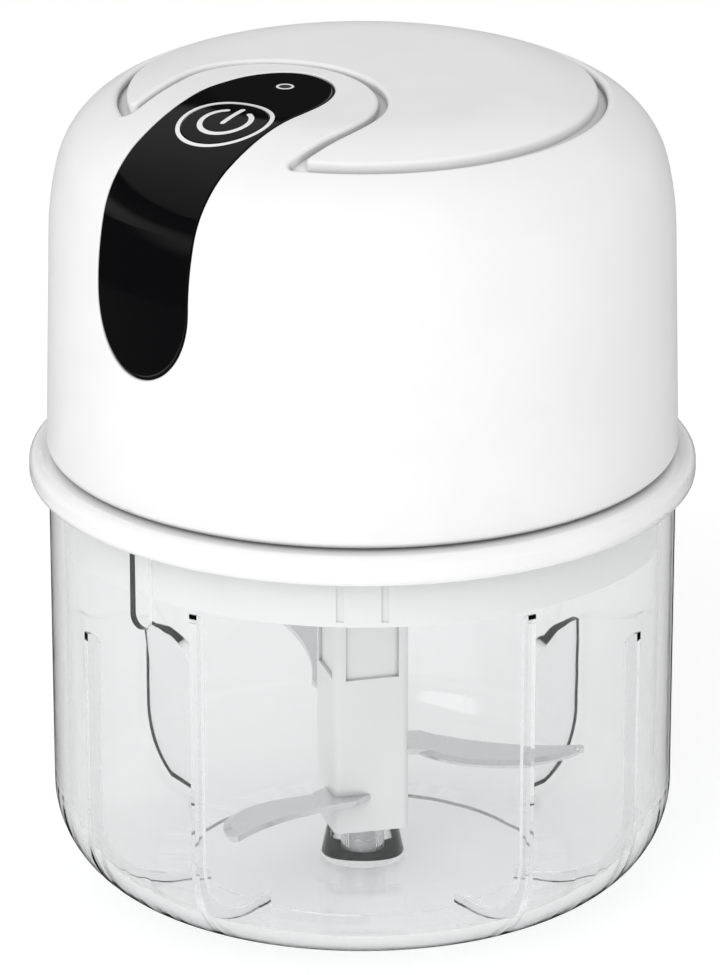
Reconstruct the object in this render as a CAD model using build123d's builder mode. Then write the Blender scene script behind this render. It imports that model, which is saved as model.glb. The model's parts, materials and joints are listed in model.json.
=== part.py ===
from build123d import *
import os
from math import acos, cos, pi, radians, sin, sqrt, tan

# Cordless mini food processor: clear bowl, lid, motor head and a coupled planetary blade drive.
# Millimetres, origin at the middle of the bowl's foot, +Z up, front towards -Y.

# ---------------------------------------------------------------- bowl
RIM_R = 43.33            # outer radius at the rim
BOWL_DRAFT = 0.45        # wall draft, degrees
BOWL_WALL = 2.0
BOWL_H = 60.0
CORNER_R = 14.0          # outer radius between wall and floor
FOOT_R = 24.0            # inside radius of the foot ring
FOOT_STEP = 0.5
BOSS_H = 7.0             # top of the boss that holds the pivot pin
FRONT_RIB_AZ = 33.0      # full-height ribs on the front wall
SIDE_RIB_AZ = 63.0
SIDE_RIB_TOP = 42.0
FIN_AZ = 131.0           # deep fins on the rear wall
FIN_TOP = 27.0
FIN_DEPTH = 8.0
FIN_ROUND = 6.8
KEYWAY_AZ = -45.0        # groove that guides the lid's key
KEYWAY_W = 3.6
KEYWAY_DEPTH = 0.9
KEYWAY_FLOOR = 46.6
RIM_ROUND = 0.5
BOSS_R = 6.0             # boss under the pivot pin
BOSS_TAPER = 12.0
FRONT_RIB_W = 1.2
FRONT_RIB_TOP = 50.6
SIDE_RIB_W = 1.0
RIB_DEPTH = 1.6
RIB_REACH = 24.0         # the ribs run in over the floor to this radius
RIB_ROOT = 0.8           # depth to which ribs and fins are rooted in the wall
RIB_IN = RIM_R - BOWL_WALL - RIB_DEPTH
FIN_W = 1.2
FIN_FOOT = 1.5
FIN_IN = RIM_R - BOWL_WALL - FIN_DEPTH
PIN_LOW = 3.0

# ---------------------------------------------------------------- lid
GAP_Z = 62.5             # top face of the lid, where the motor head sits
COLLAR_R = 46.0
COLLAR_LOW_Z = 58.3
COLLAR_EDGE_R = 44.4
SKIRT_R = 41.0
SKIRT_T = 1.6
SKIRT_LOW_Z = 51.2
DECK_TOP = 58.5
DECK_T = 2.0
WELL_R = 39.9            # wall of the well that locates the head
FLANGE_IN_R = 43.65
ROOF_Z = 61.2            # roof of the groove over the bowl's rim
CENTRE_IN = 7.6          # centre opening of the lid and the collar round it
CENTRE_OUT = 9.0
CENTRE_TOP = 61.3
KEY_W = 2.8              # keys on the skirt that slide in the bowl's keyways
KEY_H = 6.0
KEY_Z = 55.0
KEY_PROUD = 0.5
SCORE_X = 3.0            # pair of shallow upright grooves on the front of the skirt
SCORE_W = 1.0
SCORE_H = 5.4
SCORE_Z = 54.6
SCORE_DEPTH = 0.5
POST_R_LID = 3.0         # post under the interlock pin
POST_TOP_LID = 60.5
SEAL_PLAY = 0.3

# ---------------------------------------------------------------- blade set
HUB_SIDE = 10.7
HUB_TURN = 15.0
HUB_LOW = 7.3
HUB_TOP = 54.0
PIN_R = 2.0
PIN_TOP = 30.0
RUN_FIT = 0.06           # radial running clearance of shafts and pins
BLADE_T = 0.8
BLADE_R = 31.0
BEVEL_W = 1.0            # ground bevel along the cutting edge
BEVEL_H = 0.4
BLADE_LEVELS = {"blade_low": 12.0, "blade_mid": 18.5, "blade_top": 25.0}
BLADE_PITCH = {"blade_low": -5.0, "blade_mid": 0.0, "blade_top": 6.0}
DOG_AF = 5.0             # hexagonal drive dog, across flats
SOCKET_PLAY = 0.3
SOCKET_DEPTH = 10.0
TAB_LEFT = -3.4          # root of a blade, inside the hub
TAB_RIGHT = 8.0
TAB_HALF = 3.6
PANEL_W = 7.6            # sunken panels on the hub's four sides
PANEL_H = 22.0
PANEL_Z = 41.0
PANEL_DEPTH = 0.5

# ---------------------------------------------------------------- motor head
HEAD_LOW = 62.8
SIDE_R = 43.59           # dome radius at the lid's top face
SIDE_LEAN = 1.1
SIDE_H = 31.86           # height of the straight side
SHOULDER = ((42.25, 13.76), (13.31, 62.64), (31.0, 90.0))   # arc radius, lean at its end
SHELL = 2.4
SKIN = 1.2               # depth of the control strip's seat
PLATE_T = 1.4            # top plate thickness
PLATE_R = 33.4           # outer edge of the groove round the top plate
GROOVE_W = 1.3
GROOVE_ROUND = 0.6       # rounding of the dome's edge along the groove
PLATE_ROUND = 0.6
SEAT_TIP_R = 1.0         # rounding of the two tips of the groove and of the plate
PLATE_TIP_R = 0.8
DOME_FOOT_ROUND = 1.4
BASE_T = 2.0
BASE_LOW = 63.3
BASE_TOP = BASE_LOW + BASE_T

# control strip, laid out on a plane square to its own middle
STRIP_AZ = -45.0
STRIP_HALF = 8.37
STRIP_SHIFT = 0.37
STRIP_TAIL = -7.4
STRIP_BEND_Y = 3.1
STRIP_BEND_R = 82.6      # bend of the neck
STRIP_BEND_A = 14.9
STRIP_NEAR_R = 10.3      # corner of the head on the outside of the bend
STRIP_NEAR_A = 83.8
STRIP_FAR_R = 15.9       # corner of the head on the inside of the bend
STRIP_FAR_A = 19.7
STRIP_GAP = 0.12
STRIP_LIP = 0.35         # rounding of the dome's edge round the strip

# bay of the top plate that the strip runs through, seen from above
BAY_HALF_R = 14.85
BAY_START = -19.5
BAY_MOUTH = -45.0
BAY_R1 = 18.5
BAY_R2 = 13.6
BAY_LEAN = 8.0
BAY_RUN = 34.0

# button and status light
BUTTON_U = 26.2          # distance of the button from the dome's axis
BUTTON_R = 5.9
RING_IN = 6.15
RING_OUT = 6.75
LED_AT = (-10.5, -4.9)
LED_R = 1.25
LED_LOW = 110.4
FLANGE_R = 6.7
FLANGE_LOW = 4.6         # depths below the button's top, along its axis
FLANGE_HIGH = 3.8
ICON_DEPTH = 0.3
ICON_R = 3.9
ICON_LINE = 0.75
ICON_OPEN = 62.0         # opening of the power symbol's circle, degrees
ICON_TURN = 10.0
ICON_BAR = 4.6
ICON_BAR_AT = 1.7
BOARD_DEPTH = 8.6        # top of the switch board below the button's top
SWITCH_TOP = 5.4
SWITCH_SIDE = 6.2
PLUNGER_R = 1.7
PLUNGER_LOW = 6.4
PLUNGER_WELL = 2.0
SWITCH_BOARD_T = 1.2
SWITCH_BOARD_W = 14.0
SWITCH_BOARD_X = -1.0
POSTS = ((0.0, -10.2, 4.2), (-5.0, 11.0, 3.0), (5.0, 11.0, 3.0))    # local x, y, depth of the top
POST_OUT = 1.6
POST_IN = 0.8
POST_BORE = 4.4
SMALL_HEAD_R = 1.5       # heads of the switch board's screws
SMALL_HEAD_H = 0.9
SMALL_SLOT = 0.4
BOARD_OUT = -11.3
BOARD_IN = 17.6
LIGHT_W = 1.8
LIGHT_D = 1.2
LIGHT_H = 0.7

# motor head fixings and charging socket
SCREW_R = 33.5           # radius of the four base screws
SCREW_AZ = (45, 135, 225, 315)
POST_R = 3.0
POST_TOP = 74.0
SCREW_BORE_R = 1.1
SCREW_BORE = 7.0
SCREW_HOLE_R = 1.5
SCREW_HEAD_R = 2.5
SCREW_HEAD_H = 1.0
SCREW_SUNK_R = 2.8
SCREW_SUNK = 1.1
WEB_W = 2.0
WEB_L = 8.4
WEB_SHIFT = 4.0

# planetary drive
MODULE = 0.6
SUN_Z = 12
PLANET_Z = 15
RING_Z = 42
PRESSURE = 25.0
CARRIER_R = MODULE * (SUN_Z + PLANET_Z) / 2
CARRIER_LOW = 67.1
CARRIER_TOP = 68.6
PLANET_LOW = 69.0
PLANET_TOP = 74.0
COVER_LOW = 74.9
MOTOR_LOW = 76.4
MOTOR_TOP = 103.5
MOTOR_R = 12.2
CUP_R = 15.2
TOOTH_PLAY = 0.05
ADD = 0.8 * MODULE
DED = 1.15 * MODULE
FLANK_STEPS = 4
CUP_FLOOR = 1.5
CUP_WALL = 0.8
BUSH_R = 4.0
BUSH_LIP_R = 5.4
BUSH_LIP = 0.8
BUSH_H = 3.5
OUTPUT_R = 3.0
OUTPUT_LOW = 57.5
DOG_LOW = 46.0
CARRIER_OUT = 11.0
PEG_R = 1.2
PEG_PROUD = 0.4
SHAFT_R = 1.0
SHAFT_TOP = 106.0
CAN_T = 0.8
CAN_FLOOR = 1.0
CAN_ROUND = 1.2
MOTOR_SCREW_X = 8.0
ARMATURE_R = 9.6
ARMATURE_LOW = 80.0
ARMATURE_H = 17.0
SLOT_MOUTH = (5.0, 1.6)
SLOT_ROUND_AT = 6.4
SLOT_ROUND_R = 2.0
COMMUTATOR_R = 2.6
COMMUTATOR_LOW = 97.4
COMMUTATOR_H = 3.2
SEGMENT_GAP = 0.4
MAGNET_T = 1.4
MAGNET_ARC = 130.0
MAGNET_LOW = 79.0
MAGNET_H = 19.0
CAP_LOW = 101.2
CAP_H = 3.2
CAP_BOSS_H = 1.4
TERMINAL_X = 6.5
TERMINAL = (0.5, 2.8)
TERMINAL_H = 6.2

# battery and boards
CELL_R = 7.1
CELL_L = 50.0
CELL_AT = (22.5, 84.0)
BOARD_T = 1.6
BOARD_LOW = 68.3
USB_W = 8.94
USB_H = 3.26
USB_PLAY = 0.5
USB_BACK = 35.6          # distances of the socket's back and mouth from the axis
USB_FRONT = 42.9
USB_SHEET = 0.3
USB_TONGUE = (6.7, 0.7)
USB_Z = BOARD_LOW + BOARD_T + USB_H / 2
CELL_ROUND = 0.6
CELL_BUTTON_R = 2.8
CELL_BUTTON = 0.8
TAB = (4.0, 9.0)
TAB_T = 0.3
TAB_DROP = 2.5
BOARD_W = 28.0
BOARD_D = 18.4
BOARD_Y = 27.8
CHIP_H = 1.4
BOARD_POSTS = ((-10.5, 22.5), (10.5, 22.5))
BOARD_POST_R = 2.4
BOARD_SCREW_R = 0.9
BOARD_HEAD_R = 1.9
BOARD_HEAD_H = 1.1
BOARD_SCREW_L = 5.0
RIB_X = 17.5             # cradle ribs under the cell
CRADLE = (17.5, 28.0)
WIRE_R = 0.6
CABLE_R = 0.8
MOTOR_RUN = ((6.5, 0.0, 108.2), (14.0, 4.0, 105.5), (19.5, 9.0, 96.0), (19.3, 10.3, 84.0),
             (16.6, 12.8, 75.5), (10.0, 20.0, 70.8))
CELL_RUN = ((25.9, 22.5, 81.0), (28.2, 25.5, 77.0), (23.0, 31.5, 72.6), (13.0, 31.0, 70.6))
SWITCH_RUN = ((-19.0, -9.4, 104.6), (-25.5, -2.0, 97.0), (-28.5, 4.0, 86.0), (-25.0, 12.0, 75.5),
              (-17.0, 15.6, 71.8), (-12.6, 19.8, 70.9))

# front interlock
LOCK_Y = -33.0
LOCK_R = 2.0
LOCK_LOW = 60.8
LOCK_L = 9.5
LOCK_FLANGE = 65.6
LOCK_FLANGE_R = 3.2
LOCK_FLANGE_H = 0.9
SAFETY_LOW = 72.0
SAFETY_W = 12.8
SAFETY_D = 5.8
SAFETY_H = 6.2
KEY_BUTTON = (1.2, 2.4, 0.4)        # actuator of the safety switch: width, depth, height
KEY_BUTTON_X = 2.0
LEG = (0.6, 2.6, 3.0)               # switch leg: width, depth, length
LEG_X = 4.5
CHEEK_X = 7.3
CHEEK = (1.6, 6.0, 12.4)            # bracket cheek: width, depth, height

os.makedirs("parts", exist_ok=True)


def keep(builder, name):
    """Label a finished sub-part and write its file."""
    builder.part.label = name
    export_step(builder.part, "parts/" + name + ".step")


def radial(azimuth):
    """Unit vector from the axis towards an azimuth, measured from the front, left negative."""
    return Vector(sin(radians(azimuth)), -cos(radians(azimuth)), 0)


def radial_plane(azimuth):
    """Upright plane through the axis: local x runs outwards, local y runs up."""
    out = radial(azimuth)
    return Plane(origin=(0, 0, 0), x_dir=out, z_dir=out.cross(Vector(0, 0, 1)))


def facing_plane(azimuth, radius, height):
    """Upright plane square to a radius, facing outwards, local y up."""
    out = radial(azimuth)
    spot = out * radius
    return Plane(origin=(spot.X, spot.Y, height), x_dir=Vector(0, 0, 1).cross(out), z_dir=out)


# ---------------------------------------------------------------- bowl
def cavity_face(grow, top):
    """Half section of the food space, with its walls moved out by grow."""
    lean = tan(radians(BOWL_DRAFT))
    wall = BOWL_WALL - grow
    corner = CORNER_R - wall
    centre_r = RIM_R - CORNER_R - (BOWL_H - CORNER_R) * lean
    with BuildLine() as edge:
        Polyline((centre_r, wall), (0, wall), (0, top), (RIM_R - wall + (top - BOWL_H) * lean, top))
        Line((RIM_R - wall + (top - BOWL_H) * lean, top), (centre_r + corner, CORNER_R))
        ThreePointArc((centre_r + corner, CORNER_R),
                      (centre_r + corner * cos(pi / 4), CORNER_R - corner * sin(pi / 4)),
                      (centre_r, wall))
    make_face(edge.edges())


with BuildPart() as rib_room:
    with BuildSketch(Plane.XZ):
        cavity_face(RIB_ROOT, BOWL_H)
    revolve(axis=Axis.Z)

# wall ribs follow the wall and run round the corner on to the floor
with BuildPart() as wall_ribs:
    for azimuth, width, top in ((FRONT_RIB_AZ, FRONT_RIB_W, FRONT_RIB_TOP),
                                (SIDE_RIB_AZ, SIDE_RIB_W, SIDE_RIB_TOP)):
        for side in (-1, 1):
            with BuildSketch(radial_plane(side * azimuth)):
                with BuildLine():
                    Polyline((RIB_REACH, 0), (RIB_REACH, top - RIB_DEPTH),
                             (RIB_IN, top - RIB_DEPTH))
                    crest = JernArc((RIB_IN, top - RIB_DEPTH), (0, 1), RIB_DEPTH, -90)
                    Polyline(crest @ 1, (RIM_R, top), (RIM_R, 0), (RIB_REACH, 0))
                make_face()
            extrude(amount=width / 2, both=True)
    add(rib_room.part, mode=Mode.INTERSECT)
    with BuildSketch(Plane.XZ):
        cavity_face(-RIB_DEPTH, BOWL_H + 1)
    revolve(axis=Axis.Z, mode=Mode.SUBTRACT)

with BuildPart() as fins:
    for side in (-1, 1):
        with BuildSketch(radial_plane(side * FIN_AZ)):
            with BuildLine():
                foot = Line((FIN_IN, FIN_FOOT), (FIN_IN, FIN_TOP - FIN_ROUND))
                JernArc(foot @ 1, (0, 1), FIN_ROUND, -90)
                Polyline((FIN_IN + FIN_ROUND, FIN_TOP), (RIM_R, FIN_TOP), (RIM_R, FIN_FOOT), foot @ 0)
            make_face()
        extrude(amount=FIN_W / 2, both=True)
    add(rib_room.part, mode=Mode.INTERSECT)

with BuildPart() as bowl:
    lean = tan(radians(BOWL_DRAFT))
    centre_r = RIM_R - CORNER_R - (BOWL_H - CORNER_R) * lean
    with BuildSketch(Plane.XZ):
        with BuildLine():
            Polyline((centre_r, 0), (0, 0), (0, BOWL_H), (RIM_R, BOWL_H))
            Line((RIM_R, BOWL_H), (centre_r + CORNER_R, CORNER_R))
            ThreePointArc((centre_r + CORNER_R, CORNER_R),
                          (centre_r + CORNER_R * cos(pi / 4), CORNER_R * (1 - sin(pi / 4))),
                          (centre_r, 0))
        make_face()
    revolve(axis=Axis.Z)
    with BuildSketch(Plane.XZ):
        cavity_face(0, BOWL_H)
    revolve(axis=Axis.Z, mode=Mode.SUBTRACT)
    fillet(bowl.edges().group_by(Axis.Z)[-1], radius=RIM_ROUND)
    with BuildSketch(Plane.XY):
        Circle(FOOT_R)
    extrude(amount=FOOT_STEP, mode=Mode.SUBTRACT)
    with BuildSketch(Plane.XY.offset(BOWL_WALL - FOOT_STEP)):
        Circle(BOSS_R)
    extrude(amount=BOSS_H - BOWL_WALL + FOOT_STEP, taper=BOSS_TAPER)
    add(wall_ribs.part)
    add(fins.part)
    with BuildSketch(Plane.XY.offset(PIN_LOW)):
        Circle(PIN_R)
    extrude(amount=BOSS_H, mode=Mode.SUBTRACT)
    for azimuth in (KEYWAY_AZ, KEYWAY_AZ + 180):
        with BuildSketch(facing_plane(azimuth, RIM_R - BOWL_WALL - 3, 0)):
            with BuildLine():
                right = Line((KEYWAY_W / 2, BOWL_H + 1), (KEYWAY_W / 2, KEYWAY_FLOOR + KEYWAY_W / 2))
                end = JernArc(right @ 1, (0, -1), KEYWAY_W / 2, -180)
                Polyline(end @ 1, (-KEYWAY_W / 2, BOWL_H + 1), right @ 0)
            make_face()
        extrude(amount=3 + KEYWAY_DEPTH, mode=Mode.SUBTRACT)
keep(bowl, "bowl")

with BuildPart() as pivot_pin:
    with BuildSketch(Plane.XY.offset(PIN_LOW)):
        Circle(PIN_R)
    extrude(amount=PIN_TOP - PIN_LOW)
    fillet(pivot_pin.edges().group_by(Axis.Z)[-1], radius=0.6 * PIN_R)
keep(pivot_pin, "pivot_pin")


# ---------------------------------------------------------------- blade set
def blade_plane(name, turn):
    """Plane of one blade: local x runs along the blade, tilted about that line."""
    flat = Plane(origin=(0, 0, BLADE_LEVELS[name]), x_dir=radial(turn), z_dir=(0, 0, 1))
    return flat.rotated((BLADE_PITCH[name], 0, 0))


blades = []
for index, name in enumerate(BLADE_LEVELS):
    spot = blade_plane(name, HUB_TURN + 120 * index - 45)
    with BuildPart() as blade:
        with BuildSketch(spot):
            with BuildLine():
                tab = Line((TAB_LEFT, -TAB_HALF), (TAB_RIGHT, -TAB_HALF))
                belly = ThreePointArc(tab @ 1, (21.0, -8.6), (BLADE_R - 0.7, -3.2))
                tip = ThreePointArc(belly @ 1, (BLADE_R - 0.2, -2.3), (BLADE_R - 1.1, -1.9))
                back = ThreePointArc(tip @ 1, (19.0, -1.2), (TAB_RIGHT, TAB_HALF))
                Polyline(back @ 1, (TAB_LEFT, TAB_HALF), tab @ 0)
            make_face()
            with Locations((0, 0)):
                Circle(PIN_R + 0.4, mode=Mode.SUBTRACT)
        extrude(amount=BLADE_T / 2, both=True)
        upper = blade.faces().filter_by(lambda f: f.normal_at().dot(spot.z_dir) > 0.99)[0]
        cutting = upper.edges().sort_by(SortBy.LENGTH)[-2:]
        cutting = sorted(cutting, key=lambda e: spot.to_local_coords(e @ 0.5).Y)[0]
        chamfer(cutting, length=BEVEL_W, length2=BEVEL_H, reference=upper)
    blades.append((name, blade))
    keep(blade, name)

with BuildPart() as blade_hub:
    hub_plane = Plane(origin=(0, 0, HUB_LOW), x_dir=radial(HUB_TURN), z_dir=(0, 0, 1))
    with BuildSketch(hub_plane):
        RectangleRounded(HUB_SIDE, HUB_SIDE, 1.0)
    extrude(amount=HUB_TOP - HUB_LOW)
    chamfer(blade_hub.edges().group_by(Axis.Z)[-1], length=0.5)
    for side in range(4):
        with BuildSketch(facing_plane(HUB_TURN + 90 * side, HUB_SIDE / 2 - PANEL_DEPTH, PANEL_Z)):
            Rectangle(PANEL_W, PANEL_H)
        extrude(amount=HUB_SIDE, mode=Mode.SUBTRACT)
    with BuildSketch(Plane.XY.offset(HUB_LOW)):
        Circle(PIN_R + RUN_FIT)
    extrude(amount=PIN_TOP + 1.0 - HUB_LOW, mode=Mode.SUBTRACT)
    with BuildSketch(Plane.XY.offset(HUB_TOP)):
        RegularPolygon((DOG_AF + SOCKET_PLAY) / 2, 6, major_radius=False)
    extrude(amount=-SOCKET_DEPTH, mode=Mode.SUBTRACT)
    for name, blade in blades:
        add(blade.part, mode=Mode.SUBTRACT)
keep(blade_hub, "blade_hub")

# ---------------------------------------------------------------- lid
with BuildPart() as lid:
    with BuildSketch(Plane.XZ):
        with BuildLine():
            low = Line((FLANGE_IN_R, COLLAR_LOW_Z), (COLLAR_EDGE_R, COLLAR_LOW_Z))
            under = ThreePointArc(low @ 1, (COLLAR_R - 0.35, COLLAR_LOW_Z + 0.5),
                                  (COLLAR_R, COLLAR_LOW_Z + 1.6))
            wall = Line(under @ 1, (COLLAR_R, GAP_Z - 1.5))
            over = ThreePointArc(wall @ 1, (COLLAR_R - 0.5, GAP_Z - 0.45), (COLLAR_R - 1.7, GAP_Z))
            Polyline(over @ 1, (WELL_R, GAP_Z), (WELL_R, DECK_TOP), (CENTRE_OUT, DECK_TOP),
                     (CENTRE_OUT, CENTRE_TOP), (CENTRE_IN, CENTRE_TOP), (CENTRE_IN, DECK_TOP - DECK_T),
                     (SKIRT_R - SKIRT_T, DECK_TOP - DECK_T), (SKIRT_R - SKIRT_T, SKIRT_LOW_Z),
                     (SKIRT_R, SKIRT_LOW_Z), (SKIRT_R, ROOF_Z), (FLANGE_IN_R, ROOF_Z), low @ 0)
        make_face()
    revolve(axis=Axis.Z)
    for azimuth in (KEYWAY_AZ, KEYWAY_AZ + 180):
        with BuildSketch(facing_plane(azimuth, SKIRT_R - SKIRT_T / 2, KEY_Z)):
            Rectangle(KEY_W, KEY_H)
        extrude(amount=SKIRT_T / 2 + KEY_PROUD)
    for shift in (-SCORE_X, SCORE_X):
        with BuildSketch(Plane(origin=(shift, SCORE_DEPTH - SKIRT_R, SCORE_Z), x_dir=(1, 0, 0),
                               z_dir=(0, -1, 0))):
            Rectangle(SCORE_W, SCORE_H)
        extrude(amount=SKIRT_T, mode=Mode.SUBTRACT)
    with BuildSketch(Plane.XY.offset(DECK_TOP - DECK_T / 2)):
        with Locations((0, LOCK_Y)):
            Circle(POST_R_LID)
    extrude(amount=POST_TOP_LID - DECK_TOP + DECK_T / 2)
keep(lid, "lid")

with BuildPart() as rim_seal:
    with BuildSketch(Plane.XY.offset(BOWL_H + SEAL_PLAY)):
        Circle(FLANGE_IN_R - SEAL_PLAY / 2)
        Circle(SKIRT_R + SEAL_PLAY / 2, mode=Mode.SUBTRACT)
    extrude(amount=ROOF_Z - BOWL_H - SEAL_PLAY)
keep(rim_seal, "rim_seal")


# ---------------------------------------------------------------- dome
def dome_face(inset):
    """Half section of the motor head, with its outer profile moved in by inset."""
    lean = radians(SIDE_LEAN)
    start = Vector(SIDE_R - inset * cos(lean), GAP_Z - inset * sin(lean))
    run = Vector(-sin(lean), cos(lean)) * (SIDE_H / cos(lean))
    low = Vector(start.X + tan(lean) * (start.Y - HEAD_LOW), HEAD_LOW)
    with BuildLine() as edge:
        side = Line(low, start + run)
        last, angle = side, SIDE_LEAN
        for radius, lean_end in SHOULDER:
            last = JernArc(last @ 1, last % 1, radius - inset, lean_end - angle)
            angle = lean_end
        Polyline(last @ 1, (0, (last @ 1).Y), (0, HEAD_LOW), low)
    make_face(edge.edges())


def dome_point(radius):
    """Height and lean (degrees) of the dome's surface at a radius on the last shoulder arc."""
    lean = radians(SIDE_LEAN)
    spot = Vector(SIDE_R - SIDE_H * tan(lean), GAP_Z + SIDE_H)
    angle = lean
    for arc_r, lean_end in SHOULDER:
        end = radians(lean_end)
        centre = Vector(spot.X - arc_r * cos(angle), spot.Y - arc_r * sin(angle))
        spot = Vector(centre.X + arc_r * cos(end), centre.Y + arc_r * sin(end))
        angle = end
    heading = acos((radius - centre.X) / arc_r)
    return centre.Y + arc_r * sin(heading), 90 - heading * 180 / pi


out = radial(STRIP_AZ)
strip_plane = Plane(origin=(0, 0, GAP_Z), x_dir=Vector(0, 0, 1).cross(out),
                    z_dir=(out + Vector(0, 0, 1)).normalized())
button_z, button_lean = dome_point(BUTTON_U)
button_normal = out * sin(radians(button_lean)) + Vector(0, 0, 1) * cos(radians(button_lean))
button_plane = Plane(origin=(out.X * BUTTON_U, out.Y * BUTTON_U, button_z),
                     x_dir=Vector(0, 0, 1).cross(out), z_dir=button_normal)


def strip_outline(grow):
    """Outline of the control strip: straight tail, bent neck, flattened round head."""
    half = STRIP_HALF + grow
    near, far = STRIP_NEAR_R + grow, STRIP_FAR_R + grow
    near_cos, far_cos = cos(radians(STRIP_NEAR_A)), cos(radians(STRIP_FAR_A))
    cap = (2 * half - near * (1 - near_cos) - far * (1 - far_cos)) / (near_cos + far_cos)
    with BuildLine() as edge:
        right = Line((STRIP_SHIFT + half, STRIP_TAIL), (STRIP_SHIFT + half, STRIP_BEND_Y))
        neck = JernArc(right @ 1, right % 1, STRIP_BEND_R + half, STRIP_BEND_A)
        last = JernArc(neck @ 1, neck % 1, near, STRIP_NEAR_A)
        last = JernArc(last @ 1, last % 1, cap, 180 - STRIP_NEAR_A - STRIP_FAR_A)
        last = JernArc(last @ 1, last % 1, far, STRIP_FAR_A)
        last = JernArc(last @ 1, last % 1, STRIP_BEND_R - half, -STRIP_BEND_A)
        left = Line(last @ 1, (STRIP_SHIFT - half, STRIP_TAIL))
        ThreePointArc(left @ 1, (STRIP_SHIFT, STRIP_TAIL - half), right @ 0)
    make_face(edge.edges())


bay_plane = Plane(origin=(0, 0, 0), x_dir=Vector(0, 0, 1).cross(out), z_dir=(0, 0, 1))


def bay_outline(grow):
    """Outline of the bay, open towards the rim."""
    with BuildLine() as edge:
        right = Line((BAY_HALF_R + grow, BAY_MOUTH), (BAY_HALF_R + grow, BAY_START))
        first = JernArc(right @ 1, right % 1, BAY_R1 + grow, 90)
        second = JernArc(first @ 1, first % 1, BAY_R2 + grow, 90 + BAY_LEAN)
        left = Line(second @ 1, (second @ 1) + (second % 1) * BAY_RUN)
        Line(left @ 1, right @ 0)
    make_face(edge.edges())


def dome_body(inset):
    """Solid inside the dome's profile moved in by inset."""
    with BuildPart() as body:
        with BuildSketch(Plane.XZ):
            dome_face(inset)
        revolve(axis=Axis.Z)
    return body.part


def tip_edges(part, radius):
    """The two upright edges where the bay meets the circle of a radius."""
    corners = part.edges().filter_by(Axis.Z)
    return [e for e in corners if Vector((e @ 0.5).X, (e @ 0.5).Y).length > radius - 0.01
            and abs(bay_plane.to_local_coords(e @ 0.5).X) > 1]


def edges_on_top(edges):
    """The edges that lie in the dome's outer surface."""
    return [e for e in edges if min(f.distance_to(Vertex(*(e @ 0.5))) for f in outer_skin) < 0.01]


dome_outer = dome_body(0)
outer_skin = dome_outer.faces()
under_strip = dome_body(SKIN)
under_plate = dome_body(PLATE_T)

with BuildPart() as strip_seat:
    with BuildSketch(strip_plane.offset(20)):
        strip_outline(STRIP_GAP)
    extrude(amount=50)
    add(under_strip, mode=Mode.SUBTRACT)

with BuildPart() as control_strip:
    with BuildSketch(strip_plane.offset(20)):
        strip_outline(0)
    extrude(amount=50)
    add(dome_outer, mode=Mode.INTERSECT)
    add(under_strip, mode=Mode.SUBTRACT)
    with BuildSketch(button_plane.offset(-5)):
        Circle(RING_OUT)
    extrude(amount=10, mode=Mode.SUBTRACT)
    with BuildSketch(Plane.XY.offset(110)):
        with Locations(LED_AT):
            Circle(LED_R)
    extrude(amount=10, mode=Mode.SUBTRACT)
keep(control_strip, "control_strip")

with BuildPart() as plate_seat:
    with BuildSketch(Plane.XY.offset(105)):
        Circle(PLATE_R)
    extrude(amount=15)
    with BuildSketch(bay_plane.offset(100)):
        bay_outline(0)
    extrude(amount=25, mode=Mode.SUBTRACT)
    fillet(tip_edges(plate_seat, PLATE_R), radius=SEAT_TIP_R)
    add(under_plate, mode=Mode.SUBTRACT)

with BuildPart() as top_plate:
    with BuildSketch(Plane.XY.offset(105)):
        Circle(PLATE_R - GROOVE_W)
    extrude(amount=15)
    with BuildSketch(bay_plane.offset(100)):
        bay_outline(GROOVE_W)
    extrude(amount=25, mode=Mode.SUBTRACT)
    fillet(tip_edges(top_plate, PLATE_R - GROOVE_W), radius=PLATE_TIP_R)
    add(dome_outer, mode=Mode.INTERSECT)
    add(under_plate, mode=Mode.SUBTRACT)
    fillet(edges_on_top(top_plate.edges()), radius=PLATE_ROUND)
keep(top_plate, "top_plate")

# ---------------------------------------------------------------- button
under_icon = dome_body(ICON_DEPTH)

icon_arc = CenterArc((0, 0), ICON_R - ICON_LINE / 2, 90 + ICON_OPEN / 2, 360 - ICON_OPEN)

with BuildPart() as power_icon:
    with BuildSketch(button_plane.offset(-5).rotated((0, 0, ICON_TURN))):
        SlotArc(icon_arc, ICON_LINE)
        with Locations((0, ICON_BAR_AT)):
            SlotCenterToCenter(ICON_BAR, ICON_LINE, rotation=90)
    extrude(amount=10)
    add(dome_outer, mode=Mode.INTERSECT)
    add(under_icon, mode=Mode.SUBTRACT)
keep(power_icon, "power_icon")

with BuildPart() as button_cap:
    with BuildSketch(button_plane.offset(-FLANGE_LOW)):
        Circle(FLANGE_R)
    extrude(amount=FLANGE_LOW - FLANGE_HIGH)
    with BuildSketch(button_plane.offset(-FLANGE_HIGH)):
        Circle(BUTTON_R)
    extrude(amount=8)
    add(dome_outer, mode=Mode.INTERSECT)
    add(power_icon.part, mode=Mode.SUBTRACT)
keep(button_cap, "button_cap")

with BuildPart() as light_ring:
    with BuildSketch(button_plane.offset(-5)):
        Circle(RING_OUT)
        Circle(RING_IN, mode=Mode.SUBTRACT)
    extrude(amount=10)
    add(dome_outer, mode=Mode.INTERSECT)
    add(under_strip, mode=Mode.SUBTRACT)
keep(light_ring, "light_ring")

with BuildPart() as push_plunger:
    with BuildSketch(button_plane.offset(-PLUNGER_LOW)):
        Circle(PLUNGER_R)
    extrude(amount=PLUNGER_LOW - FLANGE_LOW)
keep(push_plunger, "push_plunger")

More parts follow.
